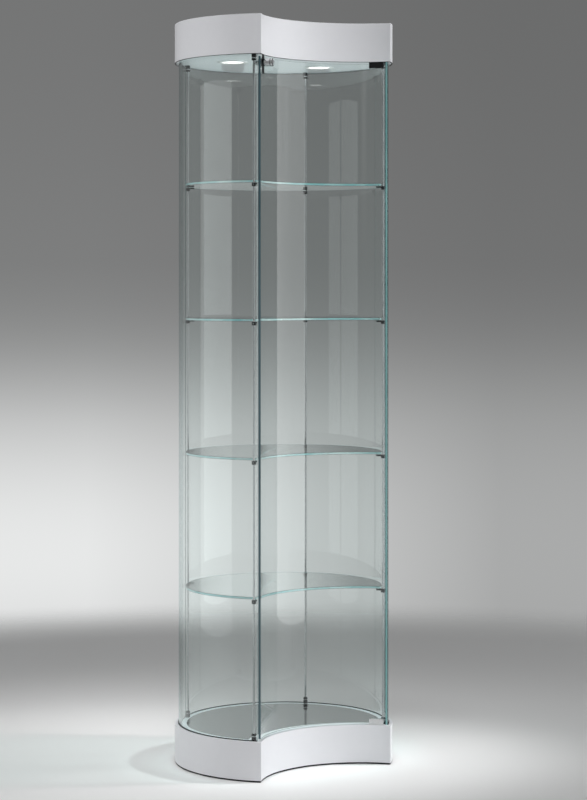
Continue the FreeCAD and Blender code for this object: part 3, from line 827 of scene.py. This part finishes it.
def makeClamp(end):
    upper = end == "Upper"
    high = clamp["height"] * mm
    low = plan["plinthTop"] + clamp["gap"] * mm
    if upper:
        low = plan["capBottom"] - clamp["gap"] * mm - high
    near, far = (clamp["pivot"] - clamp["half"]) * mm, (clamp["pivot"] + clamp["half"]) * mm
    tail, tip = -clamp["tail"] * mm, (clamp["length"] - clamp["tail"]) * mm
    block = addBlock(f"hingeClamp{end}", (near, tail, low), (far, tip, low + high))
    roundUprights(block, clamp["round"] * mm, segments=4)
    pad, web = clamp["pad"] * mm, clamp["web"] * mm
    jaw = {**clamp["jaw"], "inner": doorPane["inner"] - pad, "outer": doorPane["outer"] + pad}
    foot, head = (low - web, low + high - web) if upper else (low + web, low + high + web)
    combine(block, bentSlab("jaw", jaw, foot, head))
    combine(block, addCylinder(clamp["pin"] * mm, low - web, low + high + web, x=clamp["pivot"] * mm))
    middle = (max(foot, low) + min(head, low + high)) / 2
    bottom = far - clamp["bore"] * mm
    for along in clamp["screws"]:
        bore = (bottom, along * mm, middle), (far + web, along * mm, middle)
        combine(block, addRod(clamp["screw"] * mm, *bore))
    breakEdges(finishFaces(block), clamp["arris"] * mm)
    heads = []
    for along in clamp["screws"]:
        screw = (far - clamp["sunk"] * mm, along * mm, middle), (bottom, along * mm, middle)
        heads.append(addHexScrew(clamp["screw"] * clamp["head"] * mm, *screw))
    whole = joinAs(f"hingeClamp{end}", [block] + heads)
    turn = Matrix.Rotation(math.radians(clamp["turn"]), 4, "Z")
    whole.matrix_world = Matrix.Translation((0, plan["biteY"], 0)) @ turn
    freeze(whole, f"hingeClamp{end}")
    wear(whole, look[clamp["finish"][end]])
    seat(whole, "door", "clamp_metal", f"hinge_clamp_{end.lower()}")


makeClamp("Lower")
makeClamp("Upper")
print("clamps made")


# Cam lock: heights run out from the glass along the lock, in mm

lockPlate = {
    "thick": 1.5, "half": 1.9, "steps": 8, "low": 1.777, "high": 1.823, "drill": 0.02, "arris": 0.0004,
}
barrel = {
    "section": [
        (5, 28), (8.5, 28), (10, 26.5), (10, 21.8), (9.1, 21.4), (9.1, 20.6), (10, 20.2), (10, 5.2),
        (9.4, 4.8), (9.4, 1.65), (6.5, 1.65), (6.5, -16), (5, -16),
    ],
    # painted reflection: dark bands on the chrome stand in for the dark room mirrored round the barrel
    "paintedShadeBands": ((1.6, 5.3), (20.1, 21.9), (26.4, 27.9)), "arris": 0.2,
}
plug = {"section": [(4.3, 29), (4.95, 28.4), (4.95, -18)], "key": (1.8, 7.0, 8.0), "arris": 0.15}
fixing = {"section": [(6.8, -6), (11, -6), (11, -10), (6.8, -10)], "notch": (3.0, 1.6), "arris": 0.3}
cam = {
    "half": 5.0, "reach": 30.0, "low": -20.5, "high": -18.0, "round": 4.0, "screw": 3.2, "head": 1.8,
    "arris": 0.3,
}


def lockPlace():
    turn = math.radians(lock["turn"])
    out = Vector((-math.cos(turn), -math.sin(turn), 0))
    up = Vector((0, 0, 1))
    place = Matrix((up.cross(out), up, out)).transposed().to_4x4()
    place.translation = Vector((0, plan["biteY"], lock["height"])) - out * doorPane["inner"]
    return place


def seatOnLock(obj, body, slot, node):
    obj.matrix_world = lockPlace()
    seat(freeze(obj, obj.name), body, slot, node)


def makeLockPlate():
    outer, half = doorPane["inner"], lockPlate["half"]
    spec = {
        "centreY": plan["biteY"], "inner": outer - lockPlate["thick"] * mm, "outer": outer,
        "start": lock["turn"] - half, "sweep": 2 * half, "steps": lockPlate["steps"],
    }
    plate = bentSlab("lockPlate", spec, lockPlate["low"], lockPlate["high"])
    hole = addRod(doorPane["hole"], (0, 0, -lockPlate["drill"]), (0, 0, lockPlate["drill"]))
    hole.matrix_world = lockPlace()
    combine(plate, freeze(hole, "hole"))
    breakEdges(plate, lockPlate["arris"], segments=2)
    wear(plate, look["blackPlastic"])
    seat(plate, "door", "black_plate", "lock_back_plate")


def makeBarrel():
    body = breakEdges(turnProfile("lockBarrel", barrel["section"]), barrel["arris"] * mm, segments=1)
    wear(body, look["chrome"], look["darkReflectionChrome"])
    # painted reflection: slot 1, the dark metal, goes on the bands
    paintBands(body, barrel["paintedShadeBands"])
    seatOnLock(body, "door", "chrome", "lock_barrel")


def makePlug():
    body = turnProfile("lockPlug", plug["section"], hollow=False)
    wide, tall, deep = (size * mm for size in plug["key"])
    nose = plug["section"][0][1] * mm
    combine(body, addBlock("key", (-wide / 2, -tall / 2, nose - deep), (wide / 2, tall / 2, nose + deep)))
    breakEdges(finishFaces(body), plug["arris"] * mm, segments=1)
    wear(body, look["chrome"])
    seatOnLock(body, "lock", "chrome", "lock_plug")


def makeFixing():
    ring = turnProfile("lockFixing", fixing["section"])
    wide, deep = (size * mm for size in fixing["notch"])
    rim, face = (size * mm for size in fixing["section"][1])
    back = fixing["section"][2][1] * mm
    for quarter in range(4):
        notch = addBlock("notch", (rim - deep, -wide / 2, back - wide), (rim + wide, wide / 2, face + wide))
        notch.matrix_world = Matrix.Rotation(quarter * math.pi / 2, 4, "Z")
        combine(ring, freeze(notch, "notch"))
    breakEdges(finishFaces(ring), fixing["arris"] * mm)
    wear(ring, look["chrome"])
    seatOnLock(ring, "door", "chrome", "lock_fixing_ring")


def makeCam():
    half, low, high = cam["half"] * mm, cam["low"] * mm, cam["high"] * mm
    arm = addBlock("lockCam", (-half, -half, low), (cam["reach"] * mm, half, high))
    roundUprights(arm, cam["round"] * mm, segments=8)
    breakEdges(finishFaces(arm), cam["arris"] * mm)
    head = addHexScrew(cam["screw"] * mm, (0, 0, low - cam["head"] * mm), (0, 0, low))
    whole = joinAs("lockCam", [arm, head])
    wear(whole, look["zincPlate"])
    seatOnLock(whole, "lock", "zinc_steel", "lock_cam")


makeLockPlate()
makeBarrel()
makePlug()
makeFixing()
makeCam()
print("lock made")


# Downlights in the ceiling: a rim with a stepped throat, and a lens that swells a little

downlights = {
    "offset": 0.133, "back": 0.037, "steps": 72, "arris": 0.15, "smooth": 40,
    "rim": [
        (30, 0), (30.2, -1.0), (31.4, -1.4), (31.8, -2.2), (33, -2.9), (34, -3), (38, -3), (39.2, -2.6),
        (40, -1.6), (40, 0),
    ],
    "lens": [(2, -0.9), (12, -0.8), (20, -0.5), (27, -0.1), (30, 0.3), (30.8, 0.6), (30.8, 3), (2, 3)],
}


def makeDownlight(side, x):
    y = plan["caseY"] + downlights["back"]
    place = Matrix.Translation((x, y, plan["ceiling"]))
    rim = turnProfile("rim", downlights["rim"], steps=downlights["steps"])
    breakEdges(rim, downlights["arris"] * mm, segments=1)
    lens = turnProfile("lens", downlights["lens"], hollow=False, steps=downlights["steps"])
    pick(lens)
    bpy.ops.object.shade_smooth_by_angle(angle=math.radians(downlights["smooth"]))
    parts = (
        (rim, "Rim", "whitePaint", "lamp_bezel", "bezel"),
        (lens, "Lens", "litLens", "lamp_lens", "lens"),
    )
    for piece, label, finish, slot, node in parts:
        piece.matrix_world = place
        freeze(piece, f"downlight{label}{side}")
        wear(piece, look[finish])
        seat(piece, "case", slot, f"downlight_{node}_{side.lower()}")


makeDownlight("Left", -downlights["offset"])
makeDownlight("Right", downlights["offset"])
print("downlights made")


# Floor, lamps and background

stage = {
    "floorRadius": 3.0, "floorEdge": 1.0, "floorSteps": 128, "floorRough": 0.42,
    "floorTone": (0.80, 0.805, 0.805), "floorBounce": (0.40, 0.40, 0.40),
    # background tone by the height of the line of sight, as the sine of its angle
    "skyStops": (
        (-0.180, 0.26), (-0.156, 0.40), (-0.142, 0.60), (-0.100, 0.61), (-0.060, 0.45), (-0.025, 0.23),
        (0.010, 0.185), (0.130, 0.155), (0.150, 0.17), (0.165, 0.33), (0.190, 0.34), (0.500, 0.45),
    ),
    "skyTint": (1.0, 1.012, 1.01),
    "skySide": (-0.8396, 0.5432, 0.0),  # the paler side of the background
    "skyReach": 0.09,
    "skyTilt": 0.55,
    "room": 0.7,  # glass and metal mirror a darker room behind the camera
    "roomSpan": (-0.3, 0.7),
    # and a pale patch of wall over the shelves: its place and reach to the side, its heights, its strength
    "patch": {
        "side": 0.030, "reach": 0.080, "rise": (0.0, 0.14), "fall": (0.145, 0.175), "strength": 0.68,
    },
    "fill": 0.29,
}
# two tall soft boxes beside the case only shine in its glass and metal, and the other lamps only light it;
# one of those spares the floor, and one lights only the floor, for the shadow beside the plinth
lamps = {
    "softLeft": {
        "kind": "AREA", "place": (-2.36, 0.79, 0.985), "aim": (0, -0.04, 0.985), "size": (1.97, 1.97),
        "power": 7.3, "shine": True,
    },
    "softRight": {
        "kind": "AREA", "place": (2.04, -1.49, 1.3), "aim": (0, -0.04, 1.3), "size": (2.0, 2.6),
        "power": 16.5, "shine": True,
    },
    "sideLeft": {
        "kind": "AREA", "place": (-2.4, 0.6, 1.25), "aim": (0, -0.04, 1.2), "size": (1.4, 1.8),
        "power": 23.8, "shine": False,
    },
    "sideRight": {
        "kind": "AREA", "place": (2.3, -1.2, 0.9), "aim": (0, -0.04, 0.9), "size": (1.4, 1.8),
        "power": 16.0, "shine": False,
    },
    "frontRight": {
        "kind": "AREA", "place": (1.3, -2.5, 1.0), "aim": (0, -0.04, 1.0), "size": (1.4, 1.2),
        "power": 47.5, "shine": False, "floor": "spare",
    },
    "ceilingGlow": {
        "kind": "SPOT", "place": (0.0, -0.02, 0.25), "aim": (0, -0.02, 1.82), "cone": 30.0, "blend": 0.6,
        "soft": 0.1, "power": 41.0, "shine": False,
    },
    "downLeft": {
        "kind": "SPOT", "place": (-0.133, -0.003, 1.815), "aim": (-0.10, -0.01, 0.1), "cone": 24.0,
        "blend": 0.8, "soft": 0.03, "power": 32.0, "shine": False,
    },
    "downRight": {
        "kind": "SPOT", "place": (0.133, -0.003, 1.815), "aim": (0.10, -0.01, 0.1), "cone": 24.0,
        "blend": 0.8, "soft": 0.03, "power": 32.0, "shine": False,
    },
    "pool": {
        "kind": "SPOT", "place": (-0.9, -0.9, 5.0), "aim": (0.0, 0.02, 0.0), "cone": 18.5, "blend": 0.7,
        "soft": 0.9, "power": 700.0, "shine": False,
    },
    "floorShade": {
        "kind": "SPOT", "place": (2.0, -1.25, 2.3), "aim": (-0.10, 0.08, 0.0), "cone": 28.0, "blend": 0.9,
        "soft": 0.18, "power": 285.0, "shine": False, "floor": "only",
    },
    "farPool": {
        "kind": "SPOT", "place": (-0.4, 1.4, 5.0), "aim": (-0.05, 0.82, 0.0), "cone": 13.0, "blend": 1.0,
        "soft": 0.4, "power": 110.0, "shine": False,
    },
}


def makeFloor():
    clearSelection()
    radius = stage["floorRadius"]
    bpy.ops.mesh.primitive_circle_add(vertices=stage["floorSteps"], radius=radius, fill_type="NGON")
    floor = bpy.context.object
    floor.name = "floor"
    material, tree, shader = newMaterial("paleFloor")
    shader.inputs["Roughness"].default_value = stage["floorRough"]
    rays = tree.nodes.new("ShaderNodeLightPath").outputs
    # less of its light comes back to the case
    tone = mixTones(tree, rays["Is Diffuse Ray"], stage["floorTone"], stage["floorBounce"])
    tree.links.new(tone, shader.inputs["Base Color"])
    # and its edge fades into the background
    coord = tree.nodes.new("ShaderNodeTexCoord")
    distance = addNode(tree, "ShaderNodeVectorMath", operation="LENGTH")
    tree.links.new(coord.outputs["Object"], distance.inputs[0])
    fade = addRange(tree, distance.outputs["Value"], (radius - stage["floorEdge"], radius), soft=True)
    clear = tree.nodes.new("ShaderNodeBsdfTransparent")
    surface = tree.nodes["Material Output"].inputs["Surface"]
    mixShaders(tree, fade, shader.outputs["BSDF"], clear.outputs["BSDF"], surface)
    wear(floor, material)
    return floor


def addDot(tree, source, way):
    node = addNode(tree, "ShaderNodeVectorMath", operation="DOT_PRODUCT")
    feed(tree, node.inputs[0], source)
    feed(tree, node.inputs[1], way)
    return node.outputs["Value"]


def addSkyRamp(tree, height):
    stops = stage["skyStops"]
    lowest, highest = stops[0][0], stops[-1][0]
    ramp = tree.nodes.new("ShaderNodeValToRGB")
    ramp.color_ramp.interpolation = "B_SPLINE"
    for level, tone in stops[1:-1]:
        ramp.color_ramp.elements.new((level - lowest) / (highest - lowest))
    for element, (level, tone) in zip(ramp.color_ramp.elements, stops):
        element.color = (*(tone * tint for tint in stage["skyTint"]), 1)
    tree.links.new(addRange(tree, height, (lowest, highest)), ramp.inputs["Fac"])
    return ramp.outputs["Color"]


def makeSky():
    world = bpy.data.worlds.new("studio")
    bpy.context.scene.world = world
    world.use_nodes = True
    tree = world.node_tree
    link = tree.links.new
    sight = tree.nodes.new("ShaderNodeTexCoord").outputs["Generated"]
    split = tree.nodes.new("ShaderNodeSeparateXYZ")
    link(sight, split.inputs["Vector"])
    height = split.outputs["Z"]
    side = addDot(tree, sight, stage["skySide"])
    rays = tree.nodes.new("ShaderNodeLightPath").outputs
    mirrored = addMath(tree, "GREATER_THAN", rays["Glossy Depth"], 0.5)

    # its tone goes by height, and its pale parts change most from side to side
    tone = addSkyRamp(tree, height)
    reach, slope = stage["skyReach"], stage["skyTilt"]
    tilt = addRange(tree, side, (-reach, reach), (-slope, slope))
    uneven = addMath(tree, "MULTIPLY_ADD", tilt, tone, 1.0)
    ahead = addDot(tree, sight, camera["look"])
    room = addRange(tree, ahead, stage["roomSpan"], (stage["room"] - 1, 0), soft=True)
    darker = addMath(tree, "MULTIPLY_ADD", room, mirrored, 1.0)
    back = tree.nodes["Background"]
    link(tone, back.inputs["Color"])
    link(addMath(tree, "MULTIPLY", uneven, darker), back.inputs["Strength"])

    # the pale patch
    patch = stage["patch"]
    apart = addMath(tree, "ABSOLUTE", addMath(tree, "SUBTRACT", side, patch["side"]))
    shapes = (
        (apart, (0, patch["reach"]), (1, 0)),
        (height, patch["rise"], (0, patch["strength"])),
        (height, patch["fall"], (1, 0)),
    )
    shine = mirrored
    for source, bounds, values in shapes:
        shine = addMath(tree, "MULTIPLY", shine, addRange(tree, source, bounds, values, soft=True))
    pale = tree.nodes.new("ShaderNodeBackground")
    link(shine, pale.inputs["Strength"])
    both = tree.nodes.new("ShaderNodeAddShader")
    link(back.outputs["Background"], both.inputs[0])
    link(pale.outputs["Background"], both.inputs[1])

    # eye, mirror and glass see all this, and the rest gets a plain fill
    plain = addNode(tree, "ShaderNodeBackground", Strength=stage["fill"])
    seen = addMath(tree, "MAXIMUM", rays["Is Camera Ray"], rays["Is Glossy Ray"])
    seen = addMath(tree, "MAXIMUM", seen, rays["Is Transmission Ray"])
    surface = tree.nodes["World Output"].inputs["Surface"]
    mixShaders(tree, seen, plain.outputs["Background"], both.outputs["Shader"], surface)


def makeFloorLists(floor):
    # a lamp linked to the first list leaves the floor out, and one linked to the second lights nothing else
    lists = {}
    for use, state in (("spare", "EXCLUDE"), ("only", "INCLUDE")):
        lists[use] = bpy.data.collections.new(f"{use}Floor")
        lists[use].objects.link(floor)
        lists[use].collection_objects[0].light_linking.link_state = state
    return lists


def hideBehindGlass(data):
    # the soft boxes show where they are mirrored once, and not through the glass
    data.use_nodes = True
    tree = data.node_tree
    rays = tree.nodes.new("ShaderNodeLightPath").outputs
    straight = addMath(tree, "LESS_THAN", rays["Glossy Depth"], 0.5)
    passed = addMath(tree, "GREATER_THAN", rays["Transmission Depth"], 0.5)
    twice = addMath(tree, "GREATER_THAN", rays["Glossy Depth"], 1.5)
    hidden = addMath(tree, "MAXIMUM", addMath(tree, "MULTIPLY", straight, passed), twice)
    shown = addMath(tree, "SUBTRACT", 1.0, hidden)
    tree.links.new(shown, tree.nodes["Emission"].inputs["Strength"])


def makeLamp(name, spec):
    data = bpy.data.lights.new(name, spec["kind"])
    data.energy = spec["power"]
    if spec["kind"] == "AREA":
        data.shape = "RECTANGLE"
        data.size, data.size_y = spec["size"]
    else:
        data.spot_size = math.radians(spec["cone"])
        data.spot_blend = spec["blend"]
        data.shadow_soft_size = spec["soft"]
    lamp = bpy.data.objects.new(name, data)
    bpy.context.scene.collection.objects.link(lamp)
    lamp.location = spec["place"]
    aim = Vector(spec["aim"]) - Vector(spec["place"])
    lamp.rotation_euler = aim.to_track_quat("-Z", "Y").to_euler()
    if spec["shine"]:
        hideBehindGlass(data)
    if "floor" in spec:
        lamp.light_linking.receiver_collection = floorLists[spec["floor"]]
    lamp.visible_glossy = spec["shine"]
    lamp.visible_transmission = spec["shine"]
    lamp.visible_diffuse = not spec["shine"]
    lamp.visible_camera = False


makeCamera()
floorLists = makeFloorLists(makeFloor())
makeSky()
for name, spec in lamps.items():
    makeLamp(name, spec)
bpy.context.scene.view_settings.view_transform = "Standard"
print("stage made")
